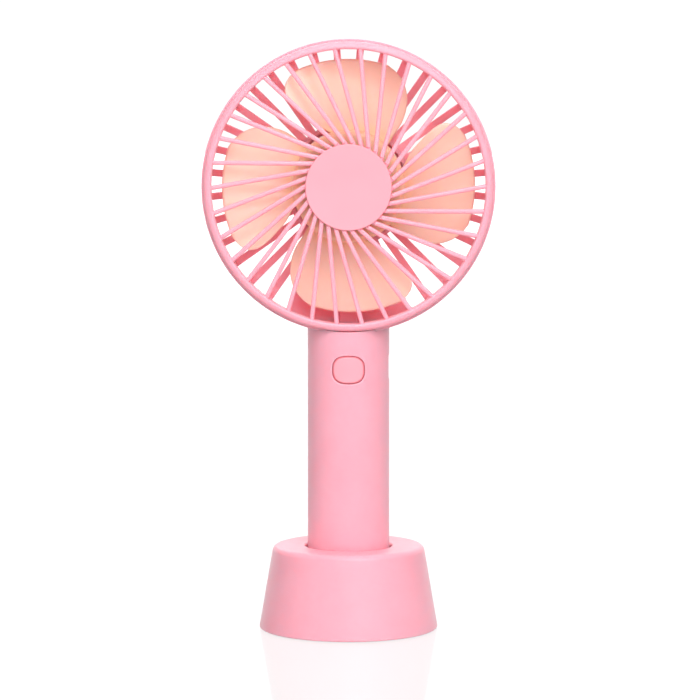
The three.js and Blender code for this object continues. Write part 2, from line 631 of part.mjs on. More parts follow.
const shells = handleShells();
place(fan, 'handle_front_shell', shells.front, PINK);
place(fan, 'handle_rear_shell', shells.rear, PINK);
place(fan, 'shell_screw', screw(-8.5, 13.6, 0.8, [0, 0, SHELL_SCREW_Z]), STEEL);
place(fan, 'neck_screw', screw(5.2, 13.6, 0.8, [0, 0, NECK_SCREW_Z]), STEEL);
place(fan, 'circuit_board', circuitBoard(), BOARD_GREEN);
place(fan, 'switch_body', switchBody(), DARK_PLASTIC);
place(fan, 'charging_chip', block([-3, 2], [-1.35, 0.2], [96, 101]), DARK_PLASTIC);
place(fan, 'charge_light', block([4, 6], [-4, -3.15], [101, 102.2]), WHITE_PLASTIC);
place(fan, 'charging_port_shell', portShell(), NICKEL);
place(fan, 'charging_port_tongue', portTongue(), DARK_PLASTIC);
place(fan, 'battery_cell', cell(), CELL_SLEEVE);
place(fan, 'battery_top_contact', topContact(), NICKEL);
place(fan, 'battery_negative_strip', negativeStrip(), NICKEL);
place(fan, 'motor_lead_red', motorLead(0.95), LEAD_RED);
place(fan, 'motor_lead_black', motorLead(-0.95), LEAD_BLACK);

// ---------------------------------------------------------------- button

// The button follows the tube, with a lip behind the shell that keeps it in.
function powerButton() {
  const [back, lipFront, front] = [11.3, 12.35, HANDLE_R + 0.05];
  const layer = (growth, outer) => {
    const wall = tube(back, outer, 80, 110, 'z', HANDLE_STEPS);
    return prism(buttonOutline(growth), -16, -9).intersect(wall);
  };
  const stem = rod(2.2, -11.8, -10.2, 'y', [0, 0, BUTTON.z]);
  return join(layer(0, front), layer(BUTTON.lip, lipFront), stem);
}

place(button, 'power_button', powerButton(), PALE_PINK);
place(button, 'switch_plunger', rod(1.65, -9.9, -7.8, 'y', [0, 0, BUTTON.z]), DARK_PLASTIC);

// ---------------------------------------------------------------- end cap

function batteryCap() {
  const { bottom, top, skirtR, skirtTop, boreR, floor } = CAP;
  const cup = revolve([
    [0, bottom], [HANDLE_R - 1, bottom], [HANDLE_R, bottom + 1], [HANDLE_R, top - 0.3], [HANDLE_R - 0.3, top],
    [skirtR, top], [skirtR, skirtTop - 0.4], [skirtR - 0.4, skirtTop],
    [boreR, skirtTop], [boreR, floor], [0, floor],
  ], HANDLE_STEPS);
  const lug = (turn) => block([11.4, LUG.reach], [-LUG.halfWidth, LUG.halfWidth], [LUG.from, LUG.to], turn);
  const lugs = [LUG.restAngle, LUG.restAngle + 180].map(lug);
  const coinSlot = block([-8, 8], [-0.9, 0.9], [bottom - 1, bottom + 1.2]);
  return cut(join(cup, ...lugs), coinSlot);
}

function springPlate() {
  const disc = rod(10, 7.6, 8.1, 'z', [0, 0, 0], MOTOR_STEPS);
  const tab = block([-9.9, -9.5], [-2.2, -0.6], [7.6, 18.8]);
  return join(disc, tab);
}

function batterySpring() {
  const { from, to, wideR, narrowR, wire: wireR, turns } = SPRING;
  const stepsPerTurn = 11;
  const count = turns * stepsPerTurn;
  const points = Array.from({ length: count + 1 }, (_, i) => {
    const along = i / count;
    const radius = wideR + (narrowR - wideR) * along;
    const angle = along * turns * 2 * Math.PI;
    return [radius * Math.cos(angle), radius * Math.sin(angle), from + (to - from) * along];
  });
  return wire(points, wireR, count, 5);
}

place(endCap, 'battery_cap', batteryCap(), PINK);
place(endCap, 'spring_plate', springPlate(), NICKEL);
place(endCap, 'battery_spring', batterySpring(), STEEL);

export default object;
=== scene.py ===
# The looks of a handheld fan that stands in its round base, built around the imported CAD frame.
# Shapes are in millimetres in the row frame and become metres in mesh_object().

import json
import math

import bmesh
import bpy
from mathutils import Matrix, Vector

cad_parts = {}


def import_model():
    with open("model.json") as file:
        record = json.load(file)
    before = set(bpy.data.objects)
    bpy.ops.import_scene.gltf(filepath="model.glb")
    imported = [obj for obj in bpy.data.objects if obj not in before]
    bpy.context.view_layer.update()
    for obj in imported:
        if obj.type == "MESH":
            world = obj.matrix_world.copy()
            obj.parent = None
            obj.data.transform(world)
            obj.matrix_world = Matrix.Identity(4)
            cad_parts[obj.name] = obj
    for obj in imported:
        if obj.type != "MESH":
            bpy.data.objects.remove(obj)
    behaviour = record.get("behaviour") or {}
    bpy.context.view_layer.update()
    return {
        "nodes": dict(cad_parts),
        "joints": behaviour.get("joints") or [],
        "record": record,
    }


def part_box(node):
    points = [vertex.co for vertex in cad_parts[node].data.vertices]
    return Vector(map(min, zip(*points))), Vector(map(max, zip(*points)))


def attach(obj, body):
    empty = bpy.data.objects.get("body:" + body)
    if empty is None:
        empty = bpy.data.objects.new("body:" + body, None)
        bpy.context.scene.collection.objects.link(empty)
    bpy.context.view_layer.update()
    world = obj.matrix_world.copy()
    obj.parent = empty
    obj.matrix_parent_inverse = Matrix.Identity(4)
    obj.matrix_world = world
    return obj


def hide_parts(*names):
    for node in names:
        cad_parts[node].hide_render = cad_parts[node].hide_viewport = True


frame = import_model()

MM = 0.001


def box_mm(node):
    """Lowest and highest corner of a CAD node in millimetres."""
    low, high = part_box(node)
    return low / MM, high / MM


def joint_place(name):
    """The point in millimetres that a joint turns about."""
    joint = next(j for j in frame["joints"] if j["name"] == name)
    return Vector(joint["pos_m"]) / MM


# ---------------------------------------------------------------- sizes

HEAD = joint_place("impeller_spin")
HANDLE_R = box_mm("battery_cap")[1].x
HANDLE_WALL = 2.0
HANDLE_TOP = 111.4  # before the head's shape is cut out of it
ABOVE_HANDLE = 120
HEAD_GAP = 0.12  # air between the handle's top and the bowl
RING_GAP = 0.2  # air between the handle's top and the front ring
SEAM = 0.16  # the line between the two handle shells
LAP = {"step": 0.9, "reach": 0.8, "gap": 0.1}  # the rear shell's inner edge runs behind the front one's
GAP = 0.3  # air between neighbouring pieces
CLEAR = 20  # how far a cutter reaches, to be well past the handle

BOWL_R = box_mm("rear_grille")[1].x
BOWL_RIM_Y = -11.1
BOWL_BACK_Y = box_mm("rear_grille")[1].y
BOWL_WALL = 2.2
BOWL_CORNER = 7.0
REAR_RIBS = 36
REAR_RIB_WIDTH = 2.6
REAR_RIB_SHARE = 0.36  # the most of the pitch that half a rib takes up near the middle
PLATE_DEPTH = 1.7  # how far the middle of the bowl's back lies in front of the rest
PLATE_STEP = (25.0, 27.0)  # the radii between which it steps back
SLOT_START_R = 22.6
SLOT_FRONT_Y = 2.0
CLOSED_SECTOR = 25.0  # degrees either side of the bottom where the slots end early
CLOSED_SECTOR_R = 43.9
MOTOR_SCREW_X = 6

RING_R = box_mm("front_grille")[1].x
RING = {"inner": 48.55, "front": -15.5, "back": -9.2}
GRILLE_HUB = {"front": -16.2, "depth": 1.6}
FRONT_RIBS = 34
FRONT_RIB = {"width": 1.6, "depth": 2.2, "offset": 8.25, "phase": -4.85, "nose": 0.62, "edge": 0.25}
# Where a rib's front runs: how far along the rib, then Y.
FRONT_RIB_LINE = [(11.2, -16.15), (13.25, -16.15), (13.6, -16.46), (30.0, -15.9), (49.2, -15.15)]

BLADES = 4
HUB_R = 20.0
# One blade: radius, then the trailing and the leading edge in degrees clockwise from its middle.
BLADE_EDGES = [
    (19.3, -17, 45), (24.4, -28, 42.3), (30.3, -32.5, 40), (36.2, -34.5, 35.5),
    (40.6, -33.7, 30), (43.6, -30, 24), (45.2, -24, 18),
]
BLADE_PITCH = 0.168  # millimetres along the axis for each degree
BLADE_MIDDLE = (4.5, -2.9)  # the angle and the Y of the blade's middle
BLADE_HALF = 0.72  # half the blade's thickness
BLADE_ROLL = 0.8  # how far in from an edge the blade reaches that thickness

BUTTON = {"z": 95.0, "half_width": 5.35, "half_height": 4.6, "groove": 0.45, "power": 2.7}
PORT = {"z": 95.0, "half_height": 3.8, "half_depth": 1.35, "wall": 0.35}
REAR_SCREWS = ("shell_screw", "neck_screw")
SCREW_SEAT = {"radius": 2.5, "floor": 13.3}
SCREW_HEAD = {"base": 0.9, "shell": 0.8, "motor": 0.9}  # how high the heads are

SOCKET_R = 15.5
SOCKET_FLOOR = 4.4
BASE_WALL = 2.4
BASE_CAVITY_R = 25.4  # the cavity under the base's top
PLATE_SEAT_R = 30.2
FOOT_INNER_R = 25.2

FINE_STEPS = 256
LATHE_STEPS = 192
MEDIUM_STEPS = 128
NECK_STEPS = 96
SMALL_STEPS = 48
SLIVER = 0.002  # sides shorter than this are closed up


# ---------------------------------------------------------------- mesh helpers


def mesh_object(name, points, faces):
    """An object from points in millimetres, with every face turned outwards."""
    mesh = bpy.data.meshes.new(name)
    mesh.from_pydata([Vector(p) * MM for p in points], [], faces)
    work = bmesh.new()
    work.from_mesh(mesh)
    bmesh.ops.remove_doubles(work, verts=work.verts, dist=1e-7)
    bmesh.ops.recalc_face_normals(work, faces=work.faces)
    work.to_mesh(mesh)
    work.free()
    obj = bpy.data.objects.new(name, mesh)
    bpy.context.scene.collection.objects.link(obj)
    return obj


def settle(obj):
    """The object's modifiers become its mesh."""
    graph = bpy.context.evaluated_depsgraph_get()
    mesh = bpy.data.meshes.new_from_object(obj.evaluated_get(graph))
    obj.modifiers.clear()
    obj.data = mesh
    return obj


def tidied(obj):
    """Closes up the sides shorter than a few thousandths that a boolean or a bevel leaves."""
    work = bmesh.new()
    work.from_mesh(obj.data)
    bmesh.ops.remove_doubles(work, verts=work.verts, dist=SLIVER * MM)
    bmesh.ops.dissolve_degenerate(work, edges=work.edges, dist=SLIVER * MM)
    work.to_mesh(obj.data)
    work.free()
    return obj


def combine(obj, others, operation):
    """An exact boolean with each of the others, which are used up."""
    for other in others:
        modifier = obj.modifiers.new(operation.lower(), "BOOLEAN")
        modifier.operation = operation
        modifier.solver = "EXACT"
        modifier.object = other
        tidied(settle(obj))
        bpy.data.objects.remove(other)
    return obj


def cut(obj, *others):
    return combine(obj, others, "DIFFERENCE")


def joined(obj, *others):
    return combine(obj, others, "UNION")


def keep_inside(obj, other):
    return combine(obj, [other], "INTERSECT")


def soften(obj, width, segments=2, angle=40):
    """Rounds the edges that are sharper than an angle in degrees."""
    modifier = obj.modifiers.new("soften", "BEVEL")
    modifier.width = width * MM
    modifier.segments = segments
    modifier.limit_method = "ANGLE"
    modifier.angle_limit = math.radians(angle)
    modifier.use_clamp_overlap = True
    return tidied(settle(obj))


def merged(name, parts):
    """One object that holds several closed bodies."""
    work = bmesh.new()
    for part in parts:
        work.from_mesh(part.data)
        bpy.data.objects.remove(part)
    mesh = bpy.data.meshes.new(name)
    work.to_mesh(mesh)
    work.free()
    obj = bpy.data.objects.new(name, mesh)
    bpy.context.scene.collection.objects.link(obj)
    return obj


def at(axis, first, second, along):
    """A point from its place along an axis and the two coordinates across it."""
    return {"X": (along, first, second), "Y": (first, along, second), "Z": (first, second, along)}[axis]


def arc_blend(start, end, share):
    """A vector part of the way round the arc between two vectors of one length."""
    angle = start.angle(end)
    near, far = math.sin((1 - share) * angle), math.sin(share * angle)
    return (start * near + end * far) / math.sin(angle)


def rounded(corners, steps=5):
    """A closed outline. A corner with a third number is rounded to that radius."""
    points = []
    for i, corner in enumerate(corners):
        here = Vector(corner[:2])
        if len(corner) == 2:
            points.append(here)
            continue
        back = (Vector(corners[i - 1][:2]) - here).normalized()
        ahead = (Vector(corners[(i + 1) % len(corners)][:2]) - here).normalized()
        half = back.angle(ahead) / 2
        reach = corner[2] / math.tan(half)
        centre = here + (back + ahead).normalized() * corner[2] / math.sin(half)
        start, end = here + back * reach - centre, here + ahead * reach - centre
        points += [centre + arc_blend(start, end, step / steps) for step in range(steps + 1)]
    return points


def divided(outline, longest):
    """The outline with extra points, so that no side is longer than a length."""
    points = []
    for i, point in enumerate(outline):
        following = Vector(outline[(i + 1) % len(outline)])
        count = max(1, math.ceil((following - Vector(point)).length / longest))
        points += [Vector(point).lerp(following, step / count) for step in range(count)]
    return points


def lathe(name, outline, axis="Z", centre=(0, 0, 0), steps=LATHE_STEPS):
    """A closed outline of (radius, distance along the axis), turned about the axis."""
    points, rings = [], []
    for radius, along in outline:
        turns = [i / steps * math.tau for i in range(steps)] if radius > 1e-6 else [0]
        rings.append(range(len(points), len(points) + len(turns)))
        for turn in turns:
            place = at(axis, radius * math.sin(turn), radius * math.cos(turn), along)
            points.append(Vector(place) + Vector(centre))
    faces = []
    for ring, following in zip(rings, rings[1:] + rings[:1]):
        faces += band(ring, following, steps)
    return mesh_object(name, points, faces)


def band(ring, following, steps):
    """The faces between two rings, either of which may be a single point."""
    if len(ring) == 1 and len(following) == 1:
        return []
    faces = []
    for i in range(steps):
        j = (i + 1) % steps
        near = [ring[i], ring[j]] if len(ring) > 1 else [ring[0]]
        far = [following[j], following[i]] if len(following) > 1 else [following[0]]
        faces.append(near + far)
    return faces


def stack(name, loops):
    """A body through loops of points, one above another, with flat ends."""
    count = len(loops[0])
    points = [point for loop in loops for point in loop]
    faces = []
    for level in range(len(loops) - 1):
        low, high = level * count, (level + 1) * count
        for i in range(count):
            j = (i + 1) % count
            faces.append([low + i, low + j, high + j, high + i])
    faces.append(list(range(count)))
    faces.append(list(range(len(points) - count, len(points))))
    return mesh_object(name, points, faces)


def extrude(name, outline, start, end, axis):
    """An outline drawn out along an axis."""
    return stack(name, [[at(axis, a, b, along) for a, b in outline] for along in (start, end)])


def box(name, low, high):
    outline = [(low[0], low[1]), (high[0], low[1]), (high[0], high[1]), (low[0], high[1])]
    return extrude(name, outline, low[2], high[2], "Z")


def rod(name, radius, start, end, axis, centre=(0, 0, 0), steps=SMALL_STEPS):
    return lathe(name, [(0, start), (radius, start), (radius, end), (0, end)], axis, centre, steps)


def tube(name, inner, outer, start, end, axis, centre, edge=0.3, steps=LATHE_STEPS):
    """A ring with rounded edges."""
    corners = [(inner, start, edge), (outer, start, edge), (outer, end, edge), (inner, end, edge)]
    return lathe(name, rounded(corners, 3), axis, centre, steps)


def superellipse(half_width, half_height, power, steps):
    """Points round a rounded rectangle, about its centre."""
    points = []
    for i in range(steps):
        turn = i / steps * math.tau
        across, up = math.cos(turn), math.sin(turn)
        points.append((
            half_width * math.copysign(abs(across) ** (2 / power), across),
            half_height * math.copysign(abs(up) ** (2 / power), up),
        ))
    return points


def hermite(rows, place):
    """Values at a place along rows of (place, values...), on a smooth curve through every row."""
    last = len(rows) - 1
    index = min(max(sum(row[0] <= place for row in rows) - 1, 0), last - 1)
    low, high = rows[index], rows[index + 1]
    span = high[0] - low[0]
    share = (place - low[0]) / span

    def slope(i, column):
        before, after = rows[max(i - 1, 0)], rows[min(i + 1, last)]
        return (after[column] - before[column]) / (after[0] - before[0]) * span

    values = []
    for column in range(1, len(low)):
        a, b = low[column], high[column]
        p, q = slope(index, column), slope(index + 1, column)
        values.append(
            a + p * share + (3 * (b - a) - 2 * p - q) * share ** 2 + (2 * (a - b) + p + q) * share ** 3
        )
    return values


def piece(obj, name, body, slot, *nodes, crisp=35):
    """Names a finished mesh, shades it, gives it its material and its body, and hides what it replaces."""
    obj.name = name
    obj.data.name = name
    obj.data.materials.clear()
    obj.data.materials.append(MATERIALS[slot])
    obj.data.shade_smooth()
    obj.data.set_sharp_from_angle(angle=math.radians(crisp))
    weighted = obj.modifiers.new("even shading", "WEIGHTED_NORMAL")
    weighted.keep_sharp = True
    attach(obj, body)
    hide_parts(*nodes)
    return obj


# ---------------------------------------------------------------- materials


def linear(red, green, blue):
    """A linear colour from 0 to 255 display values."""
    return tuple(
        v / 255 / 12.92 if v <= 10 else ((v / 255 + 0.055) / 1.055) ** 2.4 for v in (red, green, blue)
    ) + (1.0,)


NOISE_RANGE = (0.3, 0.7)  # where most of a noise's values lie


class Look:
    """A material on a Principled shader, with the noises that vary it."""

    def __init__(self, name, **sockets):
        self.material = bpy.data.materials.new(name)
        self.material.use_nodes = True
        self.tree = self.material.node_tree
        self.shader = self.tree.nodes["Principled BSDF"]
        self.place = self.tree.nodes.new("ShaderNodeTexCoord").outputs["Object"]
        for socket, value in sockets.items():
            self.shader.inputs[socket.replace("_", " ")].default_value = value

    def link(self, source, target):
        self.tree.links.new(source, target)

    def stretched(self, stretch):
        """The object's coordinates, scaled along each axis."""
        mapping = self.tree.nodes.new("ShaderNodeMapping")
        mapping.inputs["Scale"].default_value = stretch
        self.link(self.place, mapping.inputs["Vector"])
        return mapping.outputs["Vector"]

    def noise(self, per_metre, detail=3.0, stretch=(1, 1, 1)):
        texture = self.tree.nodes.new("ShaderNodeTexNoise")
        texture.inputs["Scale"].default_value = per_metre
        texture.inputs["Detail"].default_value = detail
        self.link(self.stretched(stretch), texture.inputs["Vector"])
        return texture.outputs["Fac"]

    def beyond(self, centre, near, far):
        """From 0 to 1 as the distance from a line along Y goes from near to far."""
        across = self.tree.nodes.new("ShaderNodeMapping")
        across.inputs["Location"].default_value = (-centre.x * MM, 0, -centre.z * MM)
        across.inputs["Scale"].default_value = (1, 0, 1)
        length = self.tree.nodes.new("ShaderNodeVectorMath")
        length.operation = "LENGTH"
        spread = self.tree.nodes.new("ShaderNodeMapRange")
        spread.inputs["From Min"].default_value = near * MM
        spread.inputs["From Max"].default_value = far * MM
        self.link(self.place, across.inputs["Vector"])
        self.link(across.outputs["Vector"], length.inputs[0])
        self.link(length.outputs["Value"], spread.inputs["Value"])
        return spread.outputs["Result"]

    def colour(self, source, dark, light):
        """Base colour from one tone to another as a noise rises."""
        ramp = self.tree.nodes.new("ShaderNodeValToRGB")
        for element, place, tone in zip(ramp.color_ramp.elements, NOISE_RANGE, (dark, light)):
            element.position = place
            element.color = tone
        self.link(source, ramp.inputs["Fac"])
        self.link(ramp.outputs["Color"], self.shader.inputs["Base Color"])

    def roughness(self, source, low, high):
        spread = self.tree.nodes.new("ShaderNodeMapRange")
        spread.inputs["From Min"].default_value = NOISE_RANGE[0]
        spread.inputs["From Max"].default_value = NOISE_RANGE[1]
        spread.inputs["To Min"].default_value = low
        spread.inputs["To Max"].default_value = high
        self.link(source, spread.inputs["Value"])
        self.link(spread.outputs["Result"], self.shader.inputs["Roughness"])

    def bump(self, source, height_mm, strength=1.0):
        bump = self.tree.nodes.new("ShaderNodeBump")
        bump.inputs["Strength"].default_value = strength
        bump.inputs["Distance"].default_value = height_mm * MM
        self.link(source, bump.inputs["Height"])
        self.link(bump.outputs["Normal"], self.shader.inputs["Normal"])


def moulded(name, dark, light, roughness, grain_mm=0.004, grain_scale=1400, **sockets):
    """Moulded plastic: a colour that drifts, a fine grain and slightly uneven gloss."""
    look = Look(name, **sockets)
    look.colour(look.noise(45, 2.0), linear(*dark), linear(*light))
    look.roughness(look.noise(260), roughness - 0.03, roughness + 0.03)
    look.bump(look.noise(grain_scale, 4.0), grain_mm)
    return look.material


def milky_blades(name, hub_painted_glow, thin, roughness):
    """Translucent plastic with a painted orange glow of bounced light on the shaded hub, fading out to the
    thin blades' own colour.
    """
    look = Look(
        name, Subsurface_Weight=0.6, Subsurface_Scale=0.004, Subsurface_Radius=(1.0, 0.6, 0.4),
    )
    # Painted glow: the hub is coloured as if lit by light bounced into its shade, fading to the blades'
    # own colour from 18 to 27 mm out.
    look.colour(look.beyond(HEAD, HUB_R - 2, HUB_R + 7), linear(*hub_painted_glow), linear(*thin))
    look.roughness(look.noise(260), roughness - 0.04, roughness + 0.04)
    look.bump(look.noise(500, 4.0), 0.003)
    return look.material


def metal(name, dark, light, roughness, stretch=(1, 1, 1), scratch_mm=0.003):
    """Plated or sintered metal with a drawn or grainy surface."""
    look = Look(name, Metallic=1.0)
    look.colour(look.noise(300, 4.0), linear(*dark), linear(*light))
    look.roughness(look.noise(900, 4.0, stretch), roughness - 0.08, roughness + 0.08)
    look.bump(look.noise(2200, 3.0, stretch), scratch_mm)
    return look.material


def foam(name, dark, light):
    """Closed-cell foam rubber: dull, with open pores."""
    look = Look(name, Specular_IOR_Level=0.2)
    pores = look.tree.nodes.new("ShaderNodeTexVoronoi")
    pores.inputs["Scale"].default_value = 1600
    look.link(look.place, pores.inputs["Vector"])
    look.colour(pores.outputs["Distance"], linear(*dark), linear(*light))
    look.roughness(look.noise(500), 0.82, 0.94)
    look.bump(pores.outputs["Distance"], 0.05, 0.8)
    return look.material


def circuit_board(name, mask, copper):
    """Solder mask with copper tracks that show through it."""
    look = Look(name, Coat_Weight=0.3)
    tracks = look.tree.nodes.new("ShaderNodeTexBrick")
    tracks.inputs["Scale"].default_value = 420
    tracks.inputs["Color1"].default_value = linear(*mask)
    tracks.inputs["Color2"].default_value = linear(*mask)
    tracks.inputs["Mortar"].default_value = linear(*copper)
    tracks.inputs["Mortar Size"].default_value = 0.03
    look.link(look.stretched((1, 0, 1)), tracks.inputs["Vector"])
    look.link(tracks.outputs["Color"], look.shader.inputs["Base Color"])
    look.roughness(look.noise(600), 0.35, 0.45)
    look.bump(tracks.outputs["Fac"], 0.02, 0.5)
    return look.material


MATERIALS = {
    "shell_plastic": moulded(
        "pink shell plastic", (250, 164, 179), (253, 169, 184), 0.37, Specular_IOR_Level=0.32,
        Coat_Weight=0.12, Coat_Roughness=0.16,
        Subsurface_Weight=0.7, Subsurface_Scale=0.004, Subsurface_Radius=(1.0, 0.32, 0.32),
    ),
    "disc_plastic": moulded(
        "pale pink plastic", (246, 153, 165), (248, 158, 170), 0.34, Specular_IOR_Level=0.32,
    ),
    # The impeller's first colour is a painted orange glow of bounced light on its shaded hub; the second
    # is the blades' own colour.
    "blade_plastic": milky_blades("milky peach plastic", (255, 214, 180), (248, 210, 194), 0.36),
    "foot_foam": foam("foam rubber", (222, 205, 209), (240, 228, 231)),
    "steel": metal("zinc plated steel", (184, 187, 192), (206, 208, 212), 0.32),
    "nickel": metal("nickel strip", (196, 195, 190), (214, 212, 206), 0.28, (1, 1, 0.1)),
    "bronze": metal("sintered bronze", (150, 104, 52), (186, 133, 72), 0.45),
    "copper": metal("enamelled copper", (176, 96, 50), (206, 124, 70), 0.3, (1, 0.2, 1)),
    "ferrite": moulded("ferrite", (44, 44, 46), (62, 62, 64), 0.8, 0.02, 900),
    "dark_plastic": moulded("black moulding", (30, 30, 33), (42, 42, 45), 0.5),
    "white_plastic": moulded("off-white moulding", (226, 223, 217), (236, 234, 229), 0.45),
    "board": circuit_board("circuit board", (26, 92, 54), (44, 122, 72)),
    "cell_sleeve": moulded(
        "cell sleeve", (74, 152, 186), (92, 170, 203), 0.3, 0.01, 300, Coat_Weight=0.4,
    ),
    "lead_red": moulded("red sleeving", (168, 28, 38), (186, 36, 46), 0.55, 0.01),
    "lead_black": moulded("black sleeving", (24, 24, 28), (34, 34, 38), 0.55, 0.01),
}


def dress_cad_nodes():
    """The CAD nodes that stay as they are take the material of their slot."""
    for subpart in frame["record"]["subparts"]:
        mesh = frame["nodes"][subpart["node"]].data
        mesh.materials.clear()
        mesh.materials.append(MATERIALS[subpart["material_slot"]])


# ---------------------------------------------------------------- base


def screw_axes():
    """Where the three base screws stand."""
    return [sum(box_mm(f"base_screw_{i}"), Vector()) / 2 for i in (1, 2, 3)]


def base_shell():
    height, foot_r = box_mm("base_shell")[1].z, box_mm("base_shell")[1].x
    rim = box_mm("base_shell")[0].z
    shoulder_r = 27.16  # where the line of the side meets the top
    side_r = foot_r + 0.09  # where the line of the side meets the rim, before the corner is rounded
    ceiling, underside, web_r, ledge = height - BASE_WALL, 3.1, 17.3, 1.3
    corners = [
        (0, SOCKET_FLOOR), (SOCKET_R, SOCKET_FLOOR, 0.5), (SOCKET_R, height, 1.0),
        (shoulder_r, height, 2.3), (side_r, rim, 0.5), (PLATE_SEAT_R, rim, 0.2),
        (PLATE_SEAT_R, underside), (PLATE_SEAT_R - ledge, underside), (BASE_CAVITY_R, ceiling),
        (web_r, ceiling), (web_r, underside), (0, underside),
    ]
    return lathe("base", divided(rounded(corners, 8), 6), steps=FINE_STEPS)


def base_plate():
    low, high = box_mm("base_bottom_plate")
    seat_r, seat_top, hole_r = 2.6, 2.0, 1.4
    corners = [(0, low.z), (high.x, low.z, 0.3), (high.x, high.z, 0.2), (0, high.z)]
    plate = lathe("plate", rounded(corners, 3))
    for place in screw_axes():
        centre = (place.x, place.y, 0)
        seat = rod("seat", seat_r, low.z - 1, seat_top, "Z", centre)
        hole = rod("hole", hole_r, low.z - 1, high.z + 1, "Z", centre)
        cut(plate, seat, hole)
    return soften(plate, 0.15)


def foot_pad():
    low, high = box_mm("foot_pad")
    return tube("foot", FOOT_INNER_R, high.x, low.z, high.z, "Z", (0, 0, 0), 0.2, FINE_STEPS)


def screw(node, axis, head_up, head_height):
    """A pan-head screw with a cross recess, on the axis and between the ends of its CAD node."""
    low, high = box_mm(node)
    along = "XYZ".index(axis)
    centre = (low + high) / 2
    centre[along] = 0
    head_r = (high.x - low.x) / 2
    shank_r = head_r / 2
    top, tip = (high[along], low[along]) if head_up else (low[along], high[along])
    inward = -1 if head_up else 1
    seat = top + inward * head_height
    outline = rounded([
        (0, top), (head_r, top, 0.45 * head_height), (head_r, seat, 0.08), (shank_r, seat),
        (shank_r, tip - inward * shank_r), (0.3 * shank_r, tip), (0, tip),
    ], 4)
    body = lathe(node, outline, axis, centre, SMALL_STEPS)
    half_width, half_length, depth = 0.16 * head_r, 0.6 * head_r, 0.55 * head_height
    ends = sorted((top - inward, top + inward * depth))
    edge = 0.1
    for across, up in ((half_length, half_width), (half_width, half_length)):
        corners = [(-across, -up, edge), (across, -up, edge), (across, up, edge), (-across, up, edge)]
        cutter = extrude("cross", rounded(corners, 2), *ends, axis)
        cutter.data.transform(Matrix.Translation(centre * MM))
        cut(body, cutter)
    return body


# ---------------------------------------------------------------- rear grille


def bowl_outline():
    """Stations across the bowl's outside, from its centre to its rim: (radius, Y)."""
    corner_r, corner_y = BOWL_R - BOWL_CORNER, BOWL_BACK_Y - BOWL_CORNER
    plate_y, (step_inner, step_outer) = BOWL_BACK_Y - PLATE_DEPTH, PLATE_STEP
    arc = [
        (
            corner_r + BOWL_CORNER * math.sin(math.radians(turn)),
            corner_y + BOWL_CORNER * math.cos(math.radians(turn)),
        )
        for turn in range(0, 91, 10)
    ]
    flat = [(r, plate_y) for r in (0, 6, 12, 18, 20.8, SLOT_START_R, 23.6, step_inner - 0.4)]
    step = [(step_inner + 0.1, plate_y + 0.2), (step_outer - 0.1, BOWL_BACK_Y - 0.2)]
    back = [(r, BOWL_BACK_Y) for r in (step_outer + 0.5, 31, 35, 39, 42.5, CLOSED_SECTOR_R)]
    wall = [(BOWL_R, y) for y in (4, 3, SLOT_FRONT_Y, 1, -3, -7, BOWL_RIM_Y)]
    return flat + step + back + arc + wall


def slot_is_open(sector, inner, outer):
    """True where the strip between two stations is cut away in one slot."""
    inner_r, (outer_r, outer_y) = inner[0], outer
    from_top = sector * 360 / REAR_RIBS
    closed = abs(from_top - 180) < CLOSED_SECTOR
    slack = 0.01
    if inner_r < SLOT_START_R - slack:
        return False
    if closed:
        return outer_r < CLOSED_SECTOR_R + slack
    return outer_y > SLOT_FRONT_Y - slack


def bowl_surface():
    """The bowl's outside as quads that follow its ribs, with the slots left out."""
    stations = bowl_outline()
    pitch = math.tau / REAR_RIBS
    points, rows = [Vector((0, stations[0][1], 0)) + HEAD], []
    for radius, y in stations[1:]:
        half_rib = min(math.asin(min(REAR_RIB_WIDTH / 2 / radius, 1)), REAR_RIB_SHARE * pitch)
        row = []
        for sector in range(REAR_RIBS):
            rib = (sector - 0.5) * pitch
            for offset in (0, half_rib, pitch / 2, pitch - half_rib):
                row.append(len(points))
                turn = rib + offset
                points.append(Vector((radius * math.sin(turn), y, radius * math.cos(turn))) + HEAD)
        rows.append(row)
    count = len(rows[0])
    faces = [[0, rows[0][i], rows[0][(i + 1) % count]] for i in range(count)]
    for level in range(len(rows) - 1):
        low, high = rows[level], rows[level + 1]
        for i in range(count):
            sector, column = divmod(i, 4)
            in_slot = column in (1, 2)
            if in_slot and slot_is_open(sector, stations[level + 1], stations[level + 2]):
                continue
            j = (i + 1) % count
            faces.append([low[i], low[j], high[j], high[i]])
    return mesh_object("bowl", points, faces)


def thickened_bowl():
    surface = bowl_surface()
    wall = surface.modifiers.new("wall", "SOLIDIFY")
    wall.thickness = BOWL_WALL * MM
    wall.offset = -1
    wall.use_even_offset = True
    wall.use_quality_normals = True
    settle(surface)
    return soften(surface, 0.42, 3, 50)


def filled_bowl(growth):
    """Everything inside the bowl's outside, grown by an amount."""
    corner_r, corner_y = BOWL_R - BOWL_CORNER, BOWL_BACK_Y - BOWL_CORNER
    corner = BOWL_CORNER + growth
    outline = [(0, BOWL_RIM_Y - growth), (BOWL_R + growth, BOWL_RIM_Y - growth)]
    for turn in range(0, 91, 9):
        angle = math.radians(turn)
        outline.append((corner_r + corner * math.cos(angle), corner_y + corner * math.sin(angle)))
    outline.append((0, BOWL_BACK_Y + growth))
    return lathe("filled bowl", outline, "Y", HEAD)


def lead_duct():
    """The channel that takes the motor's leads down to the neck."""
    half, front, back, edge, top = 3.45, 5.7, 9.0, 0.7, HEAD.z - 22.1
    corners = [(-half, back, edge), (-half, front, edge), (half, front, edge), (half, back, edge)]
    duct = extrude("duct", rounded(corners, 4), HEAD.z - BOWL_R, top, "Z")
    return keep_inside(duct, filled_bowl(-BOWL_WALL - 0.1))


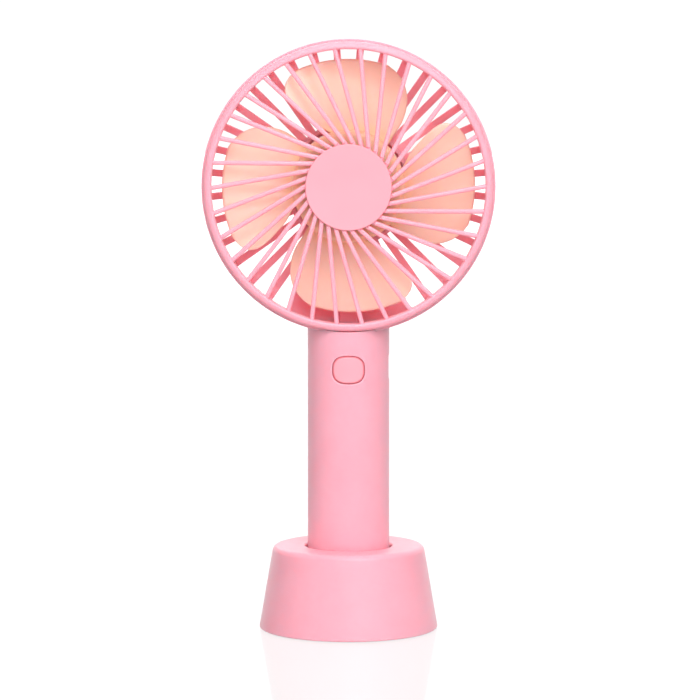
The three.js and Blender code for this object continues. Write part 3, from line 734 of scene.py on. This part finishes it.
def neck():
    """The short tube that plugs into the handle."""
    inner, outer, bottom, top, front_bottom = 9.6, 12.2, 100.6, 112.0, 106
    body = tube("neck", inner, outer, bottom, top, "Z", (0, 0, 0), 0.3, NECK_STEPS)
    front = box("front", (-CLEAR, -CLEAR, front_bottom), (CLEAR, BOWL_RIM_Y, top + 1))
    within = rod("within", BOWL_R - 1, BOWL_RIM_Y - 2, 6, "Y", HEAD, LATHE_STEPS)
    return cut(body, filled_bowl(-1), within, front)


def motor_mount():
    """The cup rim and the ring behind the hub that hold the motor."""
    back = 10
    cup_rim = tube("cup rim", 20.6, 22.0, 7, back, "Y", HEAD, 0.4)
    ring = tube("motor ring", 12.6, 14.2, 3, back, "Y", HEAD, 0.3, MEDIUM_STEPS)
    return [cup_rim, ring]


def rear_grille():
    """The bowl with its seats for the motor's screws, and what stands on its inside."""
    bowl = thickened_bowl()
    seat_r, seat_floor, hole_r, hole_front, behind = 2.0, 10.4, 1.2, 8, 14
    for x in (-MOTOR_SCREW_X, MOTOR_SCREW_X):
        centre = HEAD + Vector((x, 0, 0))
        seat = rod("seat", seat_r, seat_floor, behind, "Y", centre)
        hole = rod("hole", hole_r, hole_front, behind, "Y", centre)
        cut(bowl, seat, hole)
    return merged("rear grille", [bowl, lead_duct(), neck(), *motor_mount()])


# ---------------------------------------------------------------- front grille


def front_rib(number):
    """One straight rib with a rounded front, from the hub to the ring."""
    half, depth, offset = FRONT_RIB["width"] / 2, FRONT_RIB["depth"], FRONT_RIB["offset"]
    nose, edge = FRONT_RIB["nose"], FRONT_RIB["edge"]
    corners = [(-half, depth, edge), (-half, 0, nose), (half, 0, nose), (half, depth, edge)]
    section = rounded(corners, 4)
    turn = math.radians(FRONT_RIB["phase"] + number * 360 / FRONT_RIBS)
    clockwise = Matrix.Rotation(turn, 3, "Y")
    loops = []
    for along, front in FRONT_RIB_LINE:
        loops.append([clockwise @ Vector((offset + x, front + y, along)) + HEAD for x, y in section])
    return stack("rib", loops)


def front_ring():
    inner, front, back = RING["inner"], RING["front"], RING["back"]
    seat_r, lip_y = BOWL_R - BOWL_WALL - GAP, BOWL_RIM_Y - GAP
    corners = [
        (inner, back, 0.4), (inner, front, 0.8), (RING_R, front, 1.9), (RING_R, lip_y, 0.2),
        (seat_r, lip_y), (seat_r, back, 0.3),
    ]
    return lathe("ring", rounded(corners, 8), "Y", HEAD, FINE_STEPS)


def grille_hub():
    radius, front = box_mm("centre_disc")[1].x, GRILLE_HUB["front"]
    back = front + GRILLE_HUB["depth"]
    corners = [(0, front), (radius, front, 0.2), (radius, back, 0.5), (0, back)]
    return lathe("grille hub", rounded(corners, 5), "Y", HEAD)


def front_grille():
    ribs = [front_rib(i) for i in range(FRONT_RIBS)]
    return joined(front_ring(), merged("ribs", ribs), grille_hub())


def centre_disc():
    low, high = box_mm("centre_disc")
    corners = [(0, low.y), (high.x, low.y + 0.05, 0.35), (high.x, high.y), (0, high.y)]
    return lathe("disc", rounded(corners, 5), "Y", HEAD)


# ---------------------------------------------------------------- impeller


def spread_to_edges(count, edge):
    """Places from 0 to 1, crowded towards both ends so that an edge can be rounded."""
    inner = [edge + (1 - 2 * edge) * i / count for i in range(count + 1)]
    curve = [edge * share for share in (0.0, 0.06, 0.2, 0.45)]
    return curve + inner + [1 - place for place in reversed(curve)]


def blade_sheet(number, columns, rows):
    """The points of one blade's two faces: the sheet is thin at its edges and shares them."""
    start, tip = BLADE_EDGES[0][0], BLADE_EDGES[-1][0]
    middle_angle, middle_y = BLADE_MIDDLE
    front, back = [], []
    for row in rows:
        radius = start + (tip - start) * row
        trailing, leading = hermite(BLADE_EDGES, radius)
        chord = radius * math.radians(leading - trailing)
        for column in columns:
            angle = trailing + (leading - trailing) * column
            inset = min(min(column, 1 - column) * chord, tip - radius)
            half = BLADE_HALF * math.sqrt(1 - (1 - min(inset / BLADE_ROLL, 1)) ** 2)
            y = middle_y + (angle - middle_angle) * BLADE_PITCH
            turn = math.radians(angle + number * 360 / BLADES)
            across, up = radius * math.sin(turn), radius * math.cos(turn)
            front.append(Vector((across, y - half, up)) + HEAD)
            back.append(Vector((across, y + half, up)) + HEAD)
    return front, back


def blade(number):
    steps, edge, rim = 22, 0.02, 0.96
    columns = spread_to_edges(steps, edge)
    rows = [i / steps * rim for i in range(steps)] + [rim, 0.975, 0.988, 0.996, 1.0]
    front, back = blade_sheet(number, columns, rows)
    width, height = len(columns), len(rows)
    faces = []
    for start in (0, len(front)):
        for row in range(height - 1):
            for column in range(width - 1):
                corner = start + row * width + column
                faces.append([corner, corner + 1, corner + 1 + width, corner + width])
    faces.append(list(range(width)) + [len(front) + i for i in reversed(range(width))])
    return mesh_object("blade", front + back, faces)


def impeller_hub():
    low = box_mm("impeller")[0].y
    rear, wall, bore_r, boss_r, boss_rear = 4.5, 1.6, 1.3, 3.2, -5
    corners = [
        (bore_r, low, 0.15), (HUB_R, low, 1.8), (HUB_R, rear, 0.4), (HUB_R - wall, rear, 0.4),
        (HUB_R - wall, low + wall, 1.0), (boss_r, low + wall, 0.5), (boss_r, boss_rear, 0.3),
        (bore_r, boss_rear),
    ]
    return lathe("hub", rounded(corners, 6), "Y", HEAD)


def impeller():
    blades = [blade(i) for i in range(BLADES)]
    return joined(impeller_hub(), merged("blades", blades))


# ---------------------------------------------------------------- handle


def on_tube(x, radius):
    """How far forward a tube of some radius is at x."""
    return -math.sqrt(max(radius ** 2 - x ** 2, 0))


def button_loop(growth, radius, scale=1.0):
    """The button's outline, grown and laid on a tube about the handle's axis."""
    outline = superellipse(
        BUTTON["half_width"] + growth, BUTTON["half_height"] + growth, BUTTON["power"], 96,
    )
    return [(x * scale, on_tube(x * scale, radius), BUTTON["z"] + z * scale) for x, z in outline]


def button_hole():
    """A cutter that leaves a rolled lip round the hole."""
    roll, groove, depth_of_hole = 0.35, BUTTON["groove"], 3.4
    loops = [button_loop(groove + roll, HANDLE_R + 1)]
    for step in range(7):
        depth = roll * step / 6
        sideways = roll - math.sqrt(roll ** 2 - (roll - depth) ** 2)
        loops.append(button_loop(groove + sideways, HANDLE_R - depth))
    loops.append(button_loop(groove, HANDLE_R - depth_of_hole))
    return stack("button hole", loops)


def port_cutters():
    """The shallow recess on the side of the handle and the slot in it."""
    recess_depth, slot_inner, outside = 0.3, 10, HANDLE_R + 2
    recess = [(y, PORT["z"] + up) for y, up in superellipse(4.0, 4.35, 4.5, 64)]
    slot = stadium(PORT["half_depth"] + GAP, PORT["half_height"] + GAP, 10)
    return [
        extrude("recess", recess, HANDLE_R - recess_depth, outside, "X"),
        extrude("slot", slot, slot_inner, outside, "X"),
    ]


def handle_tube():
    """The whole tube, with its top cut to fit under the head."""
    bottom, inner = box_mm("handle_front_shell")[0].z, HANDLE_R - HANDLE_WALL
    corners = [
        (inner, bottom), (HANDLE_R, bottom, 0.35), (HANDLE_R, HANDLE_TOP, 1.6), (inner, HANDLE_TOP),
    ]
    body = lathe("handle", divided(rounded(corners, 5), 2.5))
    ring_space = rod("ring space", RING_R + RING_GAP, -CLEAR, BOWL_RIM_Y, "Y", HEAD, LATHE_STEPS)
    return cut(body, filled_bowl(HEAD_GAP), ring_space)


def shell_half(side, step_x, step_y):
    """One half of the tube: side is -1 for the front and 1 for the rear, and its edge is stepped."""
    edge_y, far_y = side * SEAM / 2, side * CLEAR
    outline = [
        (-CLEAR, edge_y), (-step_x, edge_y), (-step_x, step_y), (step_x, step_y), (step_x, edge_y),
        (CLEAR, edge_y), (CLEAR, far_y), (-CLEAR, far_y),
    ]
    return keep_inside(handle_tube(), extrude("half", outline, 0, ABOVE_HANDLE, "Z"))


def handle_front():
    half = shell_half(-1, HANDLE_R - LAP["step"] + LAP["gap"], -LAP["reach"] - LAP["gap"])
    cut(half, button_hole(), *port_cutters())
    return soften(half, 0.14, 2, 55)


def handle_rear():
    half = shell_half(1, HANDLE_R - LAP["step"], -LAP["reach"])
    seats = []
    for node in REAR_SCREWS:
        z = sum(box_mm(node), Vector()).z / 2
        seats.append(rod("seat", SCREW_SEAT["radius"], SCREW_SEAT["floor"], CLEAR, "Y", (0, 0, z)))
    cut(half, *seats, *port_cutters())
    return soften(half, 0.2, 2, 55)


def power_button():
    """A face that follows the tube, rolled over at its edge, with a lip behind the shell."""
    front = -box_mm("power_button")[0].y
    roll, lip, lip_front, back, stem_end = 0.4, 0.7, 12.35, 11.3, -box_mm("power_button")[1].y
    loops = [button_loop(-roll, front, scale) for scale in (0.02, 0.25, 0.5, 0.75, 0.92, 1.0)]
    for step in range(1, 7):
        turn = step / 6 * math.pi / 2
        loops.append(button_loop(-roll * (1 - math.sin(turn)), front - roll * (1 - math.cos(turn))))
    shelf, shelf_front, slope = 0.3, 13.8, 0.1
    loops += [button_loop(0, shelf_front), button_loop(shelf, shelf_front - slope)]
    loops += [button_loop(shelf, lip_front + slope), button_loop(lip, lip_front), button_loop(lip, back)]
    face = stack("button", loops)
    stem_r, stem_start = 2.2, 11.8
    stem = rod("stem", stem_r, -stem_start, -stem_end, "Y", (0, 0, BUTTON["z"]))
    return joined(face, stem)


def stadium(half_width, half_height, steps=8):
    """Points round a slot with round ends at the port's height, taller than it is wide."""
    end = half_width * 0.98
    corners = [
        (-half_width, -half_height, end), (half_width, -half_height, end),
        (half_width, half_height, end), (-half_width, half_height, end),
    ]
    return [(y, PORT["z"] + up) for y, up in rounded(corners, steps)]


def port_shell():
    low, high = box_mm("charging_port_shell")
    wall = PORT["wall"]
    outside = stadium(PORT["half_depth"], PORT["half_height"])
    inside = stadium(PORT["half_depth"] - wall, PORT["half_height"] - wall)
    body = extrude("port", outside, low.x, high.x, "X")
    return cut(body, extrude("mouth", inside, low.x + wall, high.x + 1, "X"))


def port_tongue():
    return soften(box("tongue", *box_mm("charging_port_tongue")), 0.2)


# ---------------------------------------------------------------- end cap


def battery_cap():
    low, high = box_mm("battery_cap")
    seam_z, skirt_r, bore_r, floor = 12.5, 12.4, 10.4, 7.3
    corners = [
        (0, low.z), (HANDLE_R, low.z, 1.1), (HANDLE_R, seam_z, 0.3), (skirt_r, seam_z),
        (skirt_r, high.z, 0.4), (bore_r, high.z, 0.3), (bore_r, floor, 0.5), (0, floor),
    ]
    body = lathe("cap", divided(rounded(corners, 6), 4))
    slot_half_length, slot_half_width, slot_depth = 8, 0.9, 1.2
    coin_slot = superellipse(slot_half_length, slot_half_width, 8, SMALL_STEPS)
    cut(body, extrude("coin slot", coin_slot, low.z - 1, low.z + slot_depth, "Z"))
    return soften(body, 0.15, 2, 55)


def cap_lugs():
    """The two bayonet lugs on the cap's skirt."""
    lugs = []
    low, high = (11.4, -2, 16), (13.3, 2, 18)
    for turn in (45, 225):
        lug = soften(box("lug", low, high), 0.25)
        lug.data.transform(Matrix.Rotation(math.radians(turn), 4, "Z"))
        lugs.append(lug)
    return lugs


# ---------------------------------------------------------------- the object


def build_object():
    dress_cad_nodes()
    piece(base_shell(), "base-shell", "stand", "shell_plastic", "base_shell")
    piece(base_plate(), "base-plate", "stand", "shell_plastic", "base_bottom_plate")
    piece(foot_pad(), "foot-pad", "stand", "foot_foam", "foot_pad")
    for i in (1, 2, 3):
        node = f"base_screw_{i}"
        body = screw(node, "Z", False, SCREW_HEAD["base"])
        piece(body, f"base-screw-{i}", "stand", "steel", node)
    piece(rear_grille(), "rear-grille", "fan", "shell_plastic", "rear_grille")
    piece(front_grille(), "front-grille", "fan", "shell_plastic", "front_grille")
    piece(centre_disc(), "centre-disc", "fan", "disc_plastic", "centre_disc")
    piece(impeller(), "fan-impeller", "rotor", "blade_plastic", "impeller", crisp=50)
    piece(handle_front(), "handle-front", "fan", "shell_plastic", "handle_front_shell")
    piece(handle_rear(), "handle-rear", "fan", "shell_plastic", "handle_rear_shell")
    for node in REAR_SCREWS:
        body = screw(node, "Y", True, SCREW_HEAD["shell"])
        piece(body, node.replace("_", "-"), "fan", "steel", node)
    for side in ("right", "left"):
        node = f"motor_screw_{side}"
        body = screw(node, "Y", True, SCREW_HEAD["motor"])
        piece(body, f"motor-screw-{side}", "fan", "steel", node)
    piece(port_shell(), "port-shell", "fan", "nickel", "charging_port_shell")
    piece(port_tongue(), "port-tongue", "fan", "dark_plastic", "charging_port_tongue")
    piece(power_button(), "button-face", "button", "disc_plastic", "power_button")
    cap = joined(battery_cap(), *cap_lugs())
    piece(cap, "end-cap", "end_cap", "shell_plastic", "battery_cap")


# ---------------------------------------------------------------- floor, light and camera

CAMERA = {"place": (0.00053, -1.118, 0.2034), "look_at": (0.00053, 0.0, 0.1009), "lens": 160.5}
WHITE = (1.0, 1.0, 1.0, 1.0)
AMBIENT = 0.38  # the studio's light from every side
BACKDROP_LIGHT = 1.15  # the light of the white backdrop behind the object
FRONT_LIGHT = 0.69  # what a broad white wall in front of the object adds
# Where each of those begins and is whole: how far back a direction points, from -1 to 1.
BACKDROP_SPAN = (0.5, 0.8)
FRONT_SPAN = (-0.2, -0.8)
# Each softbox: its name, place, width and height in metres, and power in watts.
SOFTBOXES = [
    ("key", (0.35, -1.6, 1.15), (1.5, 1.5), 25),
    ("top", (0.0, 0.1, 1.5), (1.2, 1.2), 5),
    ("back", (0.0, 1.3, 1.1), (1.6, 1.0), 7),
    ("strip", (0.0, -1.1, 1.2), (1.5, 0.08), 5),
]
LIT_POINT = (0, 0, 0.1)
FLOOR_R = 6000
BACKDROP_R = 9.5  # metres


def floor_material():
    """A white table that is lit from below, with a faint gloss."""
    look = Look("white floor", IOR=1.12, Emission_Color=WHITE, Emission_Strength=0.72)
    look.colour(look.noise(3, 2.0), linear(96, 96, 96), linear(100, 100, 100))
    look.roughness(look.noise(8), 0.04, 0.07)
    return look.material


def floor():
    """The white table, which lights nothing around it."""
    disc = rod("floor", FLOOR_R, -1, 0, "Z", (0, 0, 0), MEDIUM_STEPS)
    disc.data.materials.append(floor_material())
    disc.visible_diffuse = False


def backdrop():
    """A plain white dome that only the camera sees."""
    bpy.ops.mesh.primitive_uv_sphere_add(segments=64, ring_count=32, radius=BACKDROP_R)
    dome = bpy.context.object
    dome.name = "backdrop"
    material = bpy.data.materials.new("white backdrop")
    material.use_nodes = True
    shader = material.node_tree.nodes["Principled BSDF"]
    shader.inputs["Base Color"].default_value = (0, 0, 0, 1)
    shader.inputs["Emission Color"].default_value = WHITE
    shader.inputs["Emission Strength"].default_value = 1.0
    dome.data.materials.append(material)
    for sees in ("diffuse", "glossy", "transmission", "volume_scatter", "shadow"):
        setattr(dome, f"visible_{sees}", False)


def smooth_rise(tree, source, span, low, high):
    """A value that goes smoothly from low to high as the source crosses a span."""
    rise = tree.nodes.new("ShaderNodeMapRange")
    rise.interpolation_type = "SMOOTHSTEP"
    rise.inputs["From Min"].default_value = span[0]
    rise.inputs["From Max"].default_value = span[1]
    rise.inputs["To Min"].default_value = low
    rise.inputs["To Max"].default_value = high
    tree.links.new(source, rise.inputs["Value"])
    return rise.outputs["Result"]


def world():
    """Even light, brighter behind the object where the white backdrop stands, and in front of it."""
    sky = bpy.data.worlds.new("studio")
    bpy.context.scene.world = sky
    sky.use_nodes = True
    tree = sky.node_tree
    background = tree.nodes["Background"]
    background.inputs["Color"].default_value = WHITE
    direction = tree.nodes.new("ShaderNodeTexCoord")
    parts = tree.nodes.new("ShaderNodeSeparateXYZ")
    tree.links.new(direction.outputs["Generated"], parts.inputs["Vector"])
    total = tree.nodes.new("ShaderNodeMath")
    behind = smooth_rise(tree, parts.outputs["Y"], BACKDROP_SPAN, AMBIENT, BACKDROP_LIGHT)
    ahead = smooth_rise(tree, parts.outputs["Y"], FRONT_SPAN, 0.0, FRONT_LIGHT)
    tree.links.new(behind, total.inputs[0])
    tree.links.new(ahead, total.inputs[1])
    tree.links.new(total.outputs["Value"], background.inputs["Strength"])


def softbox(name, place, size, power):
    """A rectangular area light that faces the object."""
    data = bpy.data.lights.new(name, "AREA")
    data.shape = "RECTANGLE"
    data.size, data.size_y = size
    data.energy = power
    light = bpy.data.objects.new(name, data)
    light.visible_camera = False
    light.location = place
    light.rotation_euler = (Vector(LIT_POINT) - Vector(place)).to_track_quat("-Z", "Y").to_euler()
    bpy.context.scene.collection.objects.link(light)


def camera():
    data = bpy.data.cameras.new("camera")
    data.lens = CAMERA["lens"]
    data.sensor_width = 36.0
    data.clip_start, data.clip_end = 0.01, 40.0
    view = bpy.data.objects.new("camera", data)
    place, look_at = Vector(CAMERA["place"]), Vector(CAMERA["look_at"])
    view.location = place
    view.rotation_euler = (look_at - place).to_track_quat("-Z", "Y").to_euler()
    bpy.context.scene.collection.objects.link(view)
    bpy.context.scene.camera = view


def studio():
    """The floor, the light and the camera, at the photograph's viewing angle."""
    bpy.context.scene.view_settings.view_transform = "Standard"
    floor()
    backdrop()
    world()
    for light in SOFTBOXES:
        softbox(*light)
    camera()


build_object()
studio()
